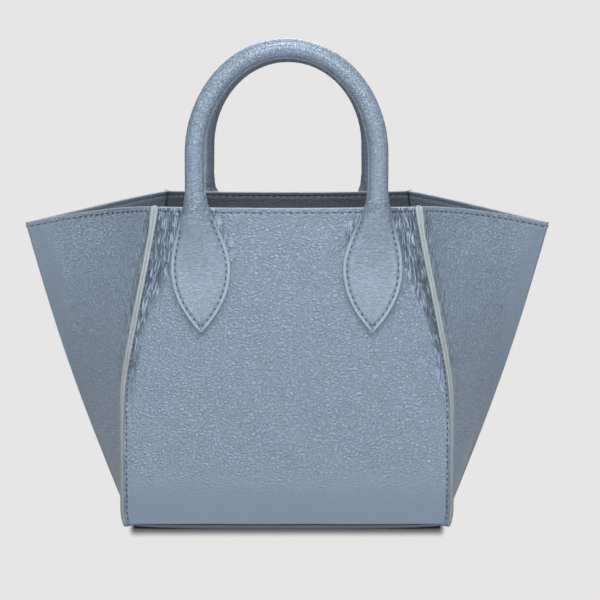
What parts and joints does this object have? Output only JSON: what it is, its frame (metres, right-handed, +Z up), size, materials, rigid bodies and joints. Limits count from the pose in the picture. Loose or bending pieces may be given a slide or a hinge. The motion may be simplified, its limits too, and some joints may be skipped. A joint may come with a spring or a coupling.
{
  "type": "trapeze tote bag",
  "caption": "Small structured trapeze tote bag with folded side wings, outward corner seams, painted edges and rolled top handles on teardrop tabs.",
  "frame": {"origin": "middle of the flat underside that the bag rests on", "axes": "+Z up, +X towards the right wing seen from the front, -Y towards the front"},
  "size_m": [0.321, 0.1708, 0.2912],
  "materials": {
    "body_leather": "pebbled grain, soft satin",
    "handle_leather": "fine grain, soft satin",
    "facing_leather": "smooth, satin",
    "lining": "napped, matt",
    "edge_paint": "painted edge, satin",
    "board": "raw fibre board",
    "core": "soft cord"
  },
  "bodies": {
    "bag_body": {"front_panel": "body_leather", "back_panel": "body_leather", "left_gusset": "body_leather", "right_gusset": "body_leather", "base_panel": "body_leather", "base_board": "board", "front_facing": "facing_leather", "back_facing": "facing_leather", "left_facing": "facing_leather", "right_facing": "facing_leather", "front_lining": "lining", "back_lining": "lining", "left_lining": "lining", "right_lining": "lining", "base_lining": "lining", "slip_pocket": "lining", "front_left_seam_edge": "edge_paint", "front_right_seam_edge": "edge_paint", "back_left_seam_edge": "edge_paint", "back_right_seam_edge": "edge_paint", "front_left_handle_tab": "handle_leather", "front_right_handle_tab": "handle_leather", "back_left_handle_tab": "handle_leather", "back_right_handle_tab": "handle_leather", "front_left_tab_filler": "core", "front_right_tab_filler": "core", "back_left_tab_filler": "core", "back_right_tab_filler": "core"},
    "front_handle": {"front_handle": "handle_leather", "front_handle_core": "core"},
    "back_handle": {"back_handle": "handle_leather", "back_handle_core": "core"}
  },
  "joints": [
    {"name": "front_handle_lean", "type": "hinge", "parent": "bag_body", "child": "front_handle", "pos_m": [0, -0.06365, 0.1995], "axis": [1, 0, 0], "range_deg": [-40, 45], "stiffness_Nm_per_rad": 0.5},
    {"name": "back_handle_lean", "type": "hinge", "parent": "bag_body", "child": "back_handle", "pos_m": [0, 0.06365, 0.1995], "axis": [1, 0, 0], "range_deg": [-23, 62], "stiffness_Nm_per_rad": 0.5}
  ]
}
